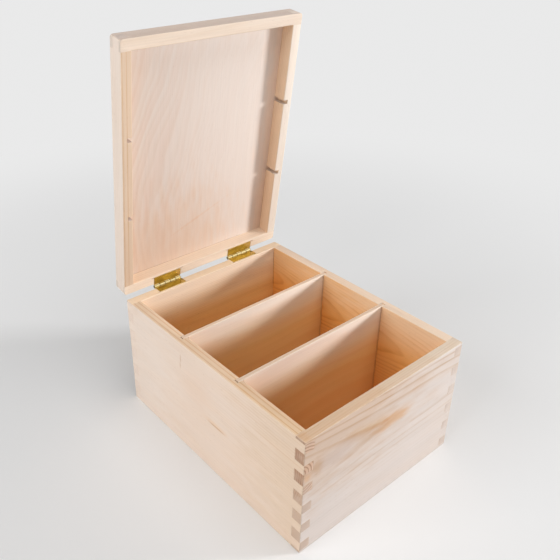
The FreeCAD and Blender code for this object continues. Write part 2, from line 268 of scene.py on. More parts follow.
def growth_rings():
    """Year rings about a pith that drifts along the grain: straight, curved or flame lines."""
    g = Effect("Growth Rings",
               {"Place": ORIGIN, "Pith": ORIGIN, "Drift": ORIGIN, "Bow": ORIGIN, "Bow Middle": 0.0,
                "Ring Width": 2.3, "Late Start": 0.25, "Wander": 1.0, "Uneven": 1.0, "Phase": 0.0,
                "Seed": 0.0},
               {"Late Wood": 0.0, "Radius": 0.0})
    take = g.takes
    shift = g.join(g.times(take["Seed"], 17.3), take["Seed"], 0.0)
    cloud = g.noise(g.vector("ADD", g.stretch(take["Place"], 0.009, 0.035, 0.035), shift),
                    detail=3.0, colour=True)
    bend = g.scale(g.vector("SUBTRACT", cloud, (0.5, 0.5, 0.5)), g.times(take["Wander"], 4.0))
    along = g.parts(take["Place"])[0]
    drift = g.scale(take["Drift"], along)
    before = g.minus(take["Bow Middle"], along)
    bow = g.scale(take["Bow"], g.times(before, g.math("ABSOLUTE", before)))
    pith = g.vector("ADD", take["Pith"], g.vector("ADD", drift, bow))
    arm = g.vector("SUBTRACT", g.vector("ADD", take["Place"], bend), pith)
    radius = g.vector("LENGTH", g.stretch(arm, 0.0, 1.0, 1.0))
    count = g.plus(g.math("DIVIDE", radius, take["Ring Width"]), take["Phase"])
    uneven = g.noise(g.join(g.times(count, 0.23), take["Seed"], 0.0), detail=1.0)
    early = g.times(g.minus(uneven, 0.5), take["Uneven"])
    count = g.plus(count, early)
    within = g.math("FRACT", count)
    year = g.add("ShaderNodeTexWhiteNoise", {"W": g.plus(g.math("FLOOR", count), take["Seed"])},
                 noise_dimensions="1D").outputs["Value"]
    rise = g.math("POWER", g.step(within, take["Late Start"], 0.84), 1.6)
    fall = g.step(within, 0.86, 1.0, 1.0, 0.0)
    late = g.times(g.times(rise, fall), g.step(year, -0.2, 1.0, 0.45, 1.0))
    return g.give(Late_Wood=late, Radius=radius)


def wood_fibre():
    """Fine streaks along the grain, a soft mottle and short dark resin flecks."""
    g = Effect("Wood Fibre",
               {"Place": ORIGIN, "Length": 60.0, "Width": 0.7, "Seed": 0.0},
               {"Streak": 0.5, "Mottle": 0.5, "Fleck": 0.0})
    take = g.takes
    place = g.vector("ADD", take["Place"], g.join(g.times(take["Seed"], 31.0), 0.0, 0.0))
    x, y, z = g.parts(place)
    long = g.math("DIVIDE", x, take["Length"])
    fine = g.join(long, g.math("DIVIDE", y, take["Width"]), g.math("DIVIDE", z, take["Width"]))
    streak = g.noise(fine, detail=3.0, rough=0.6)
    mottle = g.noise(g.stretch(place, 0.012, 0.05, 0.05), detail=3.0)
    cells = g.add("ShaderNodeTexVoronoi", {"Vector": g.stretch(place, 0.16, 1.1, 1.1), "Scale": 1.0},
                  feature="F1")
    chosen = g.step(g.parts(cells.outputs["Color"])[0], 0.87, 0.89)
    fleck = g.times(g.step(cells.outputs["Distance"], 0.12, 0.3, 1.0, 0.0), chosen)
    return g.give(Streak=streak, Mottle=mottle, Fleck=fleck)


def cut_faces():
    """Which way a face was cut: across the grain, as the sanded outer face, or as a rim."""
    g = Effect("Cut Faces",
               {"Grain": (1.0, 0.0, 0.0), "Across": (0.0, 1.0, 0.0), "Out": (0.0, 0.0, 1.0)},
               {"End Grain": 0.0, "Rim": 0.0, "Outer Face": 0.0})
    normal = g.add("ShaderNodeTexCoord").outputs["Normal"]
    end = g.math("ABSOLUTE", g.vector("DOT_PRODUCT", normal, g.takes["Grain"]))
    rim = g.math("ABSOLUTE", g.vector("DOT_PRODUCT", normal, g.takes["Across"]))
    outer = g.vector("DOT_PRODUCT", normal, g.takes["Out"])
    return g.give(End_Grain=g.step(end, 0.55, 0.85), Rim=g.step(rim, 0.5, 0.85),
                  Outer_Face=g.step(outer, 0.35, 0.85))


def arris_wear():
    """A mask along the edges of a board, broken up where hands and sanding reach."""
    g = Effect("Arris Wear", {"Place": ORIGIN, "Size": (100.0, 100.0, 10.0), "Width": 0.8},
               {"Edge": 0.0})
    x, y, z = g.parts(g.takes["Place"])
    sx, sy, sz = g.parts(g.takes["Size"])
    a = g.minus(g.times(sx, 0.5), g.math("ABSOLUTE", x))
    b = g.minus(g.times(sy, 0.5), g.math("ABSOLUTE", y))
    c = g.math("MINIMUM", g.times(z, -1.0), g.plus(sz, z))
    second = g.math("MAXIMUM", g.math("MINIMUM", a, b),
                    g.math("MINIMUM", g.math("MAXIMUM", a, b), c))
    ragged = g.noise(g.takes["Place"], scale=0.16, detail=4.0, rough=0.65)
    reach = g.times(g.takes["Width"], g.step(ragged, 0.3, 0.75, 0.4, 1.8))
    return g.give(Edge=g.minus(1.0, g.math("DIVIDE", second, reach), clamp=True))


def tint_patch():
    """One soft cloud of stain at a chosen place on a board."""
    g = Effect("Tint Patch",
               {"Place": ORIGIN, "Middle": ORIGIN, "Reach": (20.0, 6.0, 6.0), "Lean": 0.0,
                "Ragged": 0.5},
               {"Patch": 0.0})
    take = g.takes
    x, y, z = g.parts(g.vector("SUBTRACT", take["Place"], take["Middle"]))
    level = g.minus(y, g.times(x, take["Lean"]))
    arm = g.vector("DIVIDE", g.join(x, level, z), take["Reach"])
    cloud = g.noise(g.stretch(take["Place"], 0.04, 0.16, 0.16), detail=3.0)
    rough = g.times(g.minus(cloud, 0.5), g.times(take["Ragged"], 2.0))
    far = g.plus(g.vector("LENGTH", arm), rough)
    return g.give(Patch=g.step(far, 0.15, 1.0, 1.0, 0.0))


def joint_shade_line():
    """Painted shade: the thin dark line on a board along the outline of what meets it there."""
    g = Effect("Joint Shade Line",
               {"Place": ORIGIN, "Middle": ORIGIN, "Half Size": (10.0, 10.0, 10.0), "Reach": 1.0},
               {"Line": 0.0})
    take = g.takes
    arm = g.vector("ABSOLUTE", g.vector("SUBTRACT", take["Place"], take["Middle"]))
    x, y, z = g.parts(g.vector("SUBTRACT", arm, take["Half Size"]))
    far = g.math("ABSOLUTE", g.math("MAXIMUM", g.math("MAXIMUM", x, y), z))
    reach = g.times(take["Reach"], g.step(g.noise(take["Place"], 0.08), 0.3, 0.7, 0.6, 1.3))
    return g.give(Line=g.minus(1.0, g.math("DIVIDE", far, reach), clamp=True))


def saw_marks():
    """Fine cross marks that a saw leaves on a rim, and the longer ripple of a planer."""
    g = Effect("Saw Marks", {"Place": ORIGIN, "Pitch": 1.3, "Seed": 0.0}, {"Mark": 0.5})
    take = g.takes
    x, y, z = g.parts(take["Place"])
    lean = g.plus(x, g.times(z, 0.22))
    turn = g.math("DIVIDE", lean, take["Pitch"])
    mark = g.noise(g.join(turn, take["Seed"], g.times(y, 0.01)), detail=4.0, rough=0.7)
    return g.give(Mark=mark)


def peeled_veneer():
    """The wide waves of a veneer that was peeled off a turning log."""
    g = Effect("Peeled Veneer",
               {"Place": ORIGIN, "Swirl": 60.0, "Band": 9.0, "Bow": 0.0, "Bow Middle": 0.0,
                "Seed": 0.0},
               {"Wave": 0.0, "Band Tint": 0.5, "Streak": 0.5})
    take = g.takes
    shift = g.join(g.times(take["Seed"], 11.7), take["Seed"], 0.0)
    x, y, z = g.parts(take["Place"])
    hills = g.noise(g.vector("ADD", g.stretch(take["Place"], 0.0065, 0.013, 0.0), shift), rough=0.42)
    along = g.times(g.minus(x, take["Bow Middle"]), 0.01)
    bow = g.times(g.times(along, along), take["Bow"])
    level = g.minus(y, bow)
    level = g.plus(level, g.times(hills, take["Swirl"]))
    within = g.math("FRACT", g.math("DIVIDE", level, take["Band"]))
    wave = g.times(g.step(within, 0.1, 0.8), g.step(within, 0.82, 1.0, 1.0, 0.0))
    broad = g.noise(g.join(g.times(x, 0.002), g.times(level, 0.07), take["Seed"]), detail=1.0)
    streak = g.noise(g.vector("ADD", g.stretch(take["Place"], 0.02, 1.1, 1.1), shift), detail=3.0,
                     rough=0.6)
    return g.give(Wave=wave, Band_Tint=broad, Streak=streak)


def ply_layers():
    """The cross layer of a three-layer plywood, seen on its edges."""
    g = Effect("Ply Layers", {"Place": ORIGIN, "Thickness": 4.0, "Out": (0.0, 0.0, 1.0)},
               {"Cross Layer": 0.0, "Cut Edge": 0.0, "Glue Line": 0.0})
    normal = g.add("ShaderNodeTexCoord").outputs["Normal"]
    facing = g.math("ABSOLUTE", g.vector("DOT_PRODUCT", normal, g.takes["Out"]))
    edge = g.step(facing, 0.4, 0.8, 1.0, 0.0)
    x, y, z = g.parts(g.takes["Place"])
    sway = g.times(g.noise(g.stretch(g.takes["Place"], 0.08, 0.08, 0.0)), 0.12)
    depth = g.plus(g.math("DIVIDE", z, g.takes["Thickness"]), sway)
    from_middle = g.math("ABSOLUTE", g.plus(depth, 0.44))
    core = g.step(from_middle, 0.16, 0.19, 1.0, 0.0)
    glue = g.step(g.math("ABSOLUTE", g.minus(from_middle, 0.175)), 0.0, 0.035, 1.0, 0.0)
    return g.give(Cross_Layer=core, Cut_Edge=edge, Glue_Line=glue)


def rubbed_brass():
    """Hairline scratches along the sheet, soft stains, and the knuckles rubbed bright."""
    g = Effect("Rubbed Brass",
               {"Place": ORIGIN, "Middle": ORIGIN, "Pitch": 6.2, "Seed": 0.0},
               {"Scratch": 0.5, "Stain": 0.5, "Knuckle": 0.0, "Seam": 0.0})
    take = g.takes
    place = g.vector("ADD", take["Place"], g.join(take["Seed"], 0.0, 0.0))
    scratch = g.noise(g.stretch(place, 0.25, 7.0, 7.0), detail=3.0, rough=0.7)
    stain = g.noise(g.stretch(place, 0.09, 0.2, 0.2))
    x, y, z = g.parts(g.vector("SUBTRACT", take["Place"], take["Middle"]))
    knuckle = g.step(g.vector("LENGTH", g.join(0.0, y, z)), 1.7, 1.9, 1.0, 0.0)
    turn = g.math("FRACT", g.plus(g.math("DIVIDE", x, take["Pitch"]), 10.0))
    seam = g.step(g.math("ABSOLUTE", g.minus(turn, 0.5)), 0.03, 0.09, 1.0, 0.0)
    return g.give(Scratch=scratch, Stain=stain, Knuckle=knuckle,
                  Seam=g.times(seam, knuckle))


RINGS = growth_rings()
FIBRE = wood_fibre()
FACES = cut_faces()
WEAR = arris_wear()
PATCH = tint_patch()
JOINT_SHADE_LINE = joint_shade_line()
SAWN = saw_marks()
VENEER = peeled_veneer()
LAYERS = ply_layers()
BRASS = rubbed_brass()


# ---------------------------------------------------------------- materials

def new_material(name):
    """An empty material: its graph and its shader."""
    material = bpy.data.materials.new(name)
    material.use_nodes = True
    graph = Graph(material.node_tree)
    material.node_tree.nodes.clear()
    shader = graph.add("ShaderNodeBsdfPrincipled")
    output = graph.add("ShaderNodeOutputMaterial")
    graph.feed(output.inputs["Surface"], shader.outputs[0])
    return material, graph, shader


def place_on(graph, seat):
    """Millimetres on the board: x along the grain, y across, z out of the outer face."""
    where = graph.add("ShaderNodeTexCoord").outputs["Object"]
    node = graph.add("ShaderNodeMapping",
                     {"Vector": where, "Location": tuple(seat.origin),
                      "Rotation": tuple(seat.axes.to_euler("XYZ")), "Scale": (MM, MM, MM)},
                     vector_type="TEXTURE")
    return node.outputs[0]


RIM_HEIGHT = 59.0           # millimetres from the middle of a wall to its rim
RIM_CLEAR = 1.0             # millimetres below the rim with no lines of painted joint shade
RIM_FADE = 3.0              # millimetres below the rim where they are whole
JOINT_SHADE_REACH = 0.7           # millimetres that a line of painted joint shade spreads each way, about
# painted shade in the gaps where boards meet
JOINT_SHADE = (0.40, 0.26, 0.15, 1.0)
DEPTH_START = 56.0          # millimetres above the middle where the painted depth shade starts
DEPTH_END = 9.0             # and where it is full
# painted shade of the inner faces, darker and warmer towards the bottom of the box
DEPTH_SHADE = (0.96, 0.72, 0.36, 1.0)


def finish_surface(graph, shader, colour, rough, height, relief):
    """Feed the shader, with `height` raised by `relief` millimetres."""
    bump = graph.add("ShaderNodeBump", {"Strength": 1.0, "Distance": relief * MM, "Height": height})
    graph.feed(shader.inputs["Base Color"], colour)
    graph.feed(shader.inputs["Roughness"], rough)
    graph.feed(shader.inputs["Normal"], bump.outputs[0])


def with_joint_shade(graph, place, joints, strength, colour, where):
    """The colour with painted shade along the joints where the mask `where` allows it.

    The lines stop short of RIM_HEIGHT across the board, on a wall and on any other board alike.
    """
    across = graph.parts(place)[1]
    below = graph.step(across, RIM_HEIGHT - RIM_FADE, RIM_HEIGHT - RIM_CLEAR, 1.0, 0.0)
    where = graph.times(where, below)
    for middle, half_size in joints:
        line = graph.use(JOINT_SHADE_LINE, Place=place, Middle=middle, Half_Size=half_size,
                         Reach=JOINT_SHADE_REACH)["Line"]
        share = graph.times(graph.times(line, where), strength)
        colour = graph.mix(share, colour, JOINT_SHADE, "MULTIPLY")
    return colour


def with_patches(graph, place, patches, colour, where=1.0):
    """The colour with its stains and its patches of painted light and shade: middle, reach, amount,
    colour to multiply by and lean.
    """
    for middle, reach, amount, stain, *lean in patches:
        patch = graph.use(PATCH, Place=place, Middle=middle, Reach=reach, Lean=sum(lean))["Patch"]
        share = graph.times(graph.times(patch, amount), where)
        colour = graph.mix(share, colour, stain, "MULTIPLY")
    return colour


def with_depth_shade(graph, place, where, colour):
    """The colour of an inner face, with painted shade that turns it darker and warmer towards the bottom
    of the box.
    """
    below = graph.step(graph.parts(place)[1], DEPTH_END, DEPTH_START, 1.0, 0.0)
    return graph.mix(graph.times(below, where), colour, DEPTH_SHADE, "MULTIPLY")


PINE = {
    "sanded": tone(214, 199, 187),
    "raw": tone(246, 212, 174),
    "plain_end": tone(208, 190, 178),
}
SANDED_LATE = (0.82, 0.68, 0.53, 1.0)
RAW_LATE = (0.80, 0.66, 0.50, 1.0)
END_LATE = (0.62, 0.52, 0.46, 1.0)
WARM_CLOUD = (1.0, 0.95, 0.89, 1.0)
RESIN = tone(150, 104, 66)
RUBBED = tone(240, 222, 200)
EDGE_WEAR = 0.3             # how much the rubbed colour shows along the edges
WOOD_GLOSS = 0.3            # specular level of bare wood
PINE_RELIEF = 0.08          # millimetres of bump for a height of 1
ANY = 1000.0                # millimetres: a reach past the board on every side
ALL_OVER = ((0, 0, 0), (ANY, ANY, ANY))


def pine(name, seat, rings, contrast, end_contrast=0.8, bold=ALL_OVER, patches=(), heart=(),
         inside=(), joints=(), depth_shade=1.0, **tones):
    """Bare pine, sanded outside and left as sawn inside.

    `rings` are the inputs of the growth rings, and they show most about `bold`, a middle and a
    reach.  A heart is a patch inside the ring of a radius, and `inside` holds patches of painted
    shade on the inner face.  A joint is the middle and half size of what meets the inner face,
    and a thin line of painted shade runs along its outline.  Painted shade also turns the inner
    face darker and warmer towards the bottom of the box, by the given share.  The tones that
    PINE doesn't hold, `rim` and `end`, are given for every board.
    """
    tones = {**PINE, **tones}
    material, g, shader = new_material(name)
    place = place_on(g, seat)
    rings = g.use(RINGS, Place=place, **rings)
    fibre = g.use(FIBRE, Place=place, Seed=seat.seed)
    faces = g.use(FACES, Grain=tuple(seat.grain), Across=tuple(seat.across), Out=tuple(seat.out))
    edge = g.use(WEAR, Place=place, Size=tuple(seat.size))["Edge"]
    saw = g.use(SAWN, Place=place, Seed=seat.seed)["Mark"]
    strong = g.use(PATCH, Place=place, Middle=bold[0], Reach=bold[1], Ragged=0.4)["Patch"]
    outer = faces["Outer Face"]
    cut_or_rim = g.math("MAXIMUM", faces["Rim"], faces["End Grain"])
    inner = g.math("GREATER_THAN", 0.2, g.plus(outer, cut_or_rim))

    side = g.mix(outer, g.mix(faces["Rim"], tones["raw"], tones["rim"]), tones["sanded"])
    line = g.mix(outer, RAW_LATE, SANDED_LATE)
    shown = g.times(rings["Late Wood"], g.step(fibre["Mottle"], 0.3, 0.7, 0.6, 1.2))
    shown = g.times(shown, g.math("MULTIPLY_ADD", strong, 0.85, 0.15))
    shown = g.times(shown, g.math("MULTIPLY_ADD", faces["Rim"], -0.5, 1.0))
    side = g.mix(g.times(shown, contrast, clamp=True), side, line, "MULTIPLY")
    side = with_patches(g, place, patches, side)
    for middle, reach, amount, stain, radius in heart:
        patch = g.use(PATCH, Place=place, Middle=middle, Reach=reach)["Patch"]
        enclosed = g.step(rings["Radius"], radius - 0.25, radius, amount, 0.0)
        side = g.mix(g.times(patch, enclosed), side, stain, "MULTIPLY")
    side = with_patches(g, place, inside, side, inner)
    side = with_depth_shade(g, place, g.times(inner, depth_shade), side)
    dark = g.times(g.step(rings["Late Wood"], 0.05, 0.5), strong)
    cut = g.mix(g.times(dark, end_contrast),
                g.mix(strong, tones["plain_end"], tones["end"]), END_LATE, "MULTIPLY")
    colour = g.mix(faces["End Grain"], side, cut)
    streaks = g.step(fibre["Streak"], 0.3, 0.7, 0.96, 1.02)
    colour = g.mix(1.0, colour, g.join(streaks, streaks, streaks), "MULTIPLY")
    warm = g.step(fibre["Mottle"], 0.35, 0.7, 0.0, 0.4)
    colour = g.mix(warm, colour, WARM_CLOUD, "MULTIPLY")
    colour = g.mix(g.times(fibre["Fleck"], 0.2), colour, RESIN)
    colour = g.mix(g.times(edge, EDGE_WEAR), colour, RUBBED)
    colour = with_joint_shade(g, place, joints, 0.6, colour, inner)

    rough = g.math("MULTIPLY_ADD", fibre["Streak"], 0.18, 0.5)
    rough = g.plus(rough, g.times(faces["End Grain"], 0.1))
    rough = g.minus(rough, g.times(shown, 0.06))
    height = g.math("MULTIPLY_ADD", shown, 0.35, g.times(fibre["Streak"], 0.6))
    tooled = g.times(saw, g.minus(0.35, g.times(outer, 0.3)))
    finish_surface(g, shader, colour, rough, g.plus(height, tooled), PINE_RELIEF)
    shader.inputs["Specular IOR Level"].default_value = WOOD_GLOSS
    return material


PLY = {
    "edge": tone(248, 220, 193),
    "core": tone(206, 168, 132),
}
PLY_LINE = (0.86, 0.74, 0.62, 1.0)
GLUE = tone(130, 92, 64)
PLY_RELIEF = 0.05
SIDE_BLEND = 0.1            # millimetres each way from a sheet's middle, where inner marks fade out


def plywood(name, seat, veneer, contrast=0.35, bold=ALL_OVER, patches=(), joints=(),
            joint_shade_strength=0.6, edge_contrast=0.6, depth_shade=0.0, inside_only=False, **tones):
    """Three-layer plywood.  `veneer` are the inputs of the peeled veneer of its faces.

    With `inside_only` the stains, the patches of painted light and shade and the lines of painted
    shade along the joints stay off the outer face.  Painted shade also turns the faces darker and
    warmer towards the bottom of the box, by the given share.  Every sheet gives its own `pale` and
    `pink`, the two tones of its veneer.
    """
    tones = {**PLY, **tones}
    material, g, shader = new_material(name)
    place = place_on(g, seat)
    veneer = g.use(VENEER, Place=place, Seed=seat.seed, **veneer)
    fibre = g.use(FIBRE, Place=place, Length=40.0, Width=0.5, Seed=seat.seed)
    layers = g.use(LAYERS, Place=place, Thickness=seat.size.z, Out=tuple(seat.out))
    edge = g.use(WEAR, Place=place, Size=tuple(seat.size), Width=0.5)["Edge"]
    strong = g.use(PATCH, Place=place, Middle=bold[0], Reach=bold[1], Ragged=0.4)["Patch"]
    strong = g.math("MULTIPLY_ADD", strong, 0.8, 0.2)

    band = g.times(g.step(veneer["Band Tint"], 0.32, 0.68), strong)
    face = g.mix(band, tones["pale"], tones["pink"])
    wave = g.times(g.times(veneer["Wave"], strong), contrast)
    face = g.mix(wave, face, PLY_LINE, "MULTIPLY")
    side = 1.0
    if inside_only:
        middle = -seat.size.z / 2
        side = g.step(g.parts(place)[2], middle - SIDE_BLEND, middle + SIDE_BLEND, 1.0, 0.0)
    face = with_patches(g, place, patches, face, side)
    face = with_depth_shade(g, place, depth_shade, face)
    core = g.mix(layers["Cross Layer"], tones["edge"], tones["core"])
    core = g.mix(g.times(layers["Glue Line"], edge_contrast), core, GLUE)
    colour = g.mix(layers["Cut Edge"], face, core)
    streaks = g.step(veneer["Streak"], 0.3, 0.7, 0.97, 1.015)
    colour = g.mix(1.0, colour, g.join(streaks, streaks, streaks), "MULTIPLY")
    colour = g.mix(g.times(fibre["Fleck"], 0.12), colour, RESIN)
    colour = g.mix(g.times(edge, EDGE_WEAR), colour, RUBBED)
    flat = g.minus(1.0, layers["Cut Edge"])
    colour = with_joint_shade(g, place, joints, joint_shade_strength, colour, g.times(flat, side))

    rough = g.math("MULTIPLY_ADD", veneer["Streak"], 0.16, 0.48)
    height = g.math("MULTIPLY_ADD", veneer["Wave"], 0.2, fibre["Streak"])
    finish_surface(g, shader, colour, rough, height, PLY_RELIEF)
    shader.inputs["Specular IOR Level"].default_value = WOOD_GLOSS
    return material


BRASS_BRIGHT = tone(220, 192, 116)
BRASS_DULL = tone(176, 148, 78)
BRASS_RUBBED = tone(250, 234, 184)
BRASS_SEAM_DARK = tone(96, 74, 40)
BRASS_RELIEF = 0.005


def brass(name, middle, length, seed):
    """Bright stamped brass sheet with hairlines, a little tarnish and rubbed knuckles."""
    material, g, shader = new_material(name)
    where = g.add("ShaderNodeTexCoord").outputs["Object"]
    place = g.scale(where, 1 / MM)
    rub = g.use(BRASS, Place=place, Middle=tuple(middle / MM), Pitch=length / KNUCKLES / MM,
                Seed=seed)
    colour = g.mix(g.step(rub["Stain"], 0.35, 0.75), BRASS_BRIGHT, BRASS_DULL)
    colour = g.mix(g.times(rub["Knuckle"], 0.8), colour, BRASS_RUBBED)
    # darker along the seams between the knuckles
    colour = g.mix(g.times(rub["Seam"], 0.7), colour, BRASS_SEAM_DARK)
    rough = g.math("MULTIPLY_ADD", rub["Scratch"], 0.1, 0.14)
    rough = g.plus(rough, g.step(rub["Stain"], 0.45, 0.8, 0.0, 0.08))
    finish_surface(g, shader, colour, rough, rub["Scratch"], BRASS_RELIEF)
    shader.inputs["Metallic"].default_value = 1.0
    return material


# ---------------------------------------------------------------- making pieces

def add_object(name, data):
    """A new object in the scene for a mesh, a lamp or a camera."""
    thing = bpy.data.objects.new(name, data)
    bpy.context.scene.collection.objects.link(thing)
    return thing


def applied(source):
    """The mesh of an object with its modifiers applied.  The object is removed."""
    evaluated = source.evaluated_get(bpy.context.evaluated_depsgraph_get())
    made = bpy.data.meshes.new_from_object(evaluated)
    bpy.data.objects.remove(source)
    return made


def as_mesh(name, shape):
    """The mesh of a bmesh, which is freed."""
    mesh = bpy.data.meshes.new(name)
    shape.to_mesh(mesh)
    shape.free()
    return mesh


def new_piece(name, mesh, body, material, nodes):
    """A finished piece that rides on its body in place of CAD nodes."""
    mesh.materials.clear()
    mesh.materials.append(material)
    piece = add_object(name, mesh)
    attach(piece, body)
    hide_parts(*nodes)
    return piece


BOARD_EASE = 0.2 * MM       # how far sandpaper takes down the corner of a board
BOARD_WELD = 0.002 * MM     # points of a board nearer than this are one
CORNER_STEPS = 2            # facets across a rounded corner


def rounded_mesh(mesh, width):
    """The mesh with its corners rounded by `width` and its normals set for flat faces."""
    source = add_object("rounding", mesh)
    bevel = source.modifiers.new("corners", "BEVEL")
    bevel.width = width
    bevel.segments = CORNER_STEPS
    bevel.limit_method = "ANGLE"
    bevel.angle_limit = CORNER_ANGLE
    bevel.harden_normals = True
    bevel.use_clamp_overlap = True
    mesh.shade_smooth()
    return applied(source)


def board_mesh(node):
    """The CAD board with one face per flat side and its sharp corners sanded."""
    shape = bmesh.new()
    shape.from_mesh(frame["nodes"][node].data)
    bmesh.ops.remove_doubles(shape, verts=shape.verts, dist=BOARD_WELD)
    bmesh.ops.dissolve_limit(shape, angle_limit=FLAT_ANGLE, verts=shape.verts, edges=shape.edges)
    return rounded_mesh(as_mesh(node + "_board", shape), BOARD_EASE)


def make_board(node, material):
    """The finished board that stands for a CAD node, on the body that the node rides on."""
    body = "lid" if on_lid(node) else "box"
    return new_piece(node + "_board", board_mesh(node), body, material, [node])


# ---------------------------------------------------------------- box and lid boards

UP = (0, 0, 1)
DOWN = (0, 0, -1)
LEFT = (-1, 0, 0)
RIGHT = (1, 0, 0)
FRONT = (0, -1, 0)
REAR = (0, 1, 0)

FLAME = (0.98, 0.80, 0.62, 1.0)
SMOKED = (0.90, 0.79, 0.67, 1.0)
GOLDEN = (0.96, 0.86, 0.70, 1.0)
WARMED = (0.92, 0.79, 0.67, 1.0)
DUSKY = (0.92, 0.88, 0.80, 1.0)
HONEYED = (0.98, 0.86, 0.70, 1.0)
ROSY = (0.98, 0.92, 0.87, 1.0)
ASHEN = (0.94, 0.96, 1.01, 1.0)
PALER = (1.03, 1.07, 1.11, 1.0)
BAY_SHADE = (0.97, 0.87, 0.69, 1.0)
RAIL_SHADOW_LIGHT = (1.12, 1.01, 0.92, 1.0)
TANNED = (0.98, 0.85, 0.73, 1.0)
STREAK_AND_DENT_SHADE = (0.74, 0.60, 0.45, 1.0)
RIM_LINE = (0.84, 0.68, 0.52, 1.0)
RIM_LINE_REACH = (ANY, 4, 0.8)      # millimetres along, down and through the board


def meeting(seat, *nodes):
    """What meets the inner face, with painted shade along its outline: the stretch between the corners,
    and the dividers.
    """
    joints = [((0, 0, 0), (seat.size.x / 2 - BOARD, ANY, ANY))]
    for node in nodes:
        low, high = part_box(node)
        middle = (low + high) / 2
        where = (middle - seat.origin).dot(seat.grain) / MM
        half = abs((high - low).dot(seat.grain)) / 2 / MM
        joints.append(((where, 0, 0), (half, ANY, ANY)))
    return joints


def rim_lines(seat, amount, *depths, side=1):
    """Year lines along a rim, at these depths below the outer face.  Side -1 is the lower rim."""
    rim = side * seat.size.y / 2
    return [((0, rim, -depth), RIM_LINE_REACH, amount, RIM_LINE) for depth in depths]


def make_front_wall():
    """Flame figure that points to the right, a third of the way down."""
    seat = Seat("front_wall", FRONT, UP, seed=1.0)
    rings = dict(Pith=(0, 23.3, -92.6), Drift=(0, -0.02, 0), Bow=(0, 0, 0.000134), Bow_Middle=33.0,
                 Ring_Width=2.05, Phase=0.80, Wander=0.05, Uneven=0.0, Late_Start=0.48, Seed=1.0)
    stains = [((-75, 60, 0), (190, 92, 20), 1.0, WARMED), ((-60, 26, 0), (36, 15, 20), 1.0, ASHEN),
              ((-80.5, 27, 0), (9, 13, 20), 1.0, SMOKED), ((-91, 21, 0), (7, 6, 20), 0.9, FLAME),
              ((-22, 32, 0), (40, 6, 20), 0.8, GOLDEN, -0.2), ((-92, 59, -5), (6, 6, 8), 0.4, FLAME),
              ((70, 59, -5), (80, 5, 20), 1.0, PALER), *rim_lines(seat, 0.15, 3.2, 7.4)]
    make_board("front_wall",
               pine("Front Wall Pine", seat, rings, contrast=1.15, patches=stains,
                    heart=[((8, 22.5, 0), (33, 16, 20), 1.0, FLAME, 92.9)],
                    bold=((0, 36, 0), (260, 60, 100)), joints=meeting(seat),
                    sanded=tone(216, 204, 197), rim=tone(229, 210, 190), end=tone(184, 146, 120),
                    plain_end=tone(206, 179, 158)))


def make_left_wall():
    """Cut close to the pith: fine straight lines, one dark streak and the painted shade of a small dent.
    """
    seat = Seat("left_wall", LEFT, UP, seed=2.0)
    rings = dict(Pith=(0, 28, 2.0), Drift=(0, 0.004, 0.002), Ring_Width=3.0, Phase=0.36, Wander=0.5,
                 Uneven=0.4, Seed=2.0)
    stains = [((16, -2, 0), (28, 4, 20), 0.6, HONEYED), ((16, -3, 0), (21, 1.3, 20), 0.9, STREAK_AND_DENT_SHADE),
              # the two thin dark marks at x -34 and -35 are the painted shade of a small dent
              ((-34, 41, 0), (1.3, 6, 20), 0.6, STREAK_AND_DENT_SHADE), ((-35, 34, 0), (1.3, 5, 20), 0.6, STREAK_AND_DENT_SHADE),
              ((-95, 10, 0), (85, 110, 60), 1.0, PALER), ((-12, 18, 0), (34, 30, 20), 0.5, ROSY),
              ((125, 20, 0), (105, 160, 60), 0.9, DUSKY), *rim_lines(seat, 0.75, 2.4, 6.6)]
    make_board("left_wall",
               pine("Left Wall Pine", seat, rings, contrast=0.3, end_contrast=1.0, patches=stains,
                    bold=((90, 36, 0), (110, 56, 100)),
                    joints=meeting(seat, "front_divider", "rear_divider"),
                    sanded=tone(238, 217, 200), rim=tone(229, 201, 172), end=tone(207, 173, 148),
                    plain_end=tone(194, 173, 159)))


def make_right_wall():
    """Nested flames on the inner face, pointing to the front, and painted shade over its middle and rear
    bays.
    """
    seat = Seat("right_wall", RIGHT, UP, seed=3.0)
    rings = dict(Pith=(0, 21, -44.3), Drift=(0, 0.0, 0.066), Seed=3.0)
    make_board("right_wall",
               pine("Right Wall Pine", seat, rings, contrast=0.85, end_contrast=0.3,
                    bold=((0, 2, -10), (400, 66, 100)),
                    # painted shade over the middle and rear bays of the inner face
                    inside=[((110, 20, -10), (190, 120, 60), 1.0, BAY_SHADE)],
                    joints=meeting(seat, "front_divider", "rear_divider"),
                    rim=tone(235, 211, 188), end=tone(220, 206, 197)))


def make_rear_wall():
    """Straight fine lines, nearly quarter sawn."""
    seat = Seat("rear_wall", REAR, UP, seed=4.0)
    rings = dict(Pith=(0, -95, -20), Drift=(0, 0.01, 0.0), Ring_Width=1.9, Wander=0.7, Seed=4.0)
    make_board("rear_wall",
               pine("Rear Wall Pine", seat, rings, contrast=0.32, end_contrast=0.15,
                    joints=meeting(seat), raw=tone(248, 230, 209), rim=tone(234, 210, 182),
                    end=tone(238, 219, 205)))


def make_bottom():
    """A sheet let in from below: its upper face, the floor of the box, has painted shade, darker and
    warmer.
    """
    seat = Seat("bottom_panel", DOWN, RIGHT, seed=9.0)
    make_board("bottom_panel",
               plywood("Bottom Plywood", seat, dict(), patches=[((0, 0, -4), (ANY, ANY, 2.5), 0.7, DEPTH_SHADE)],
                       pale=tone(248, 216, 184), pink=tone(244, 208, 174)))


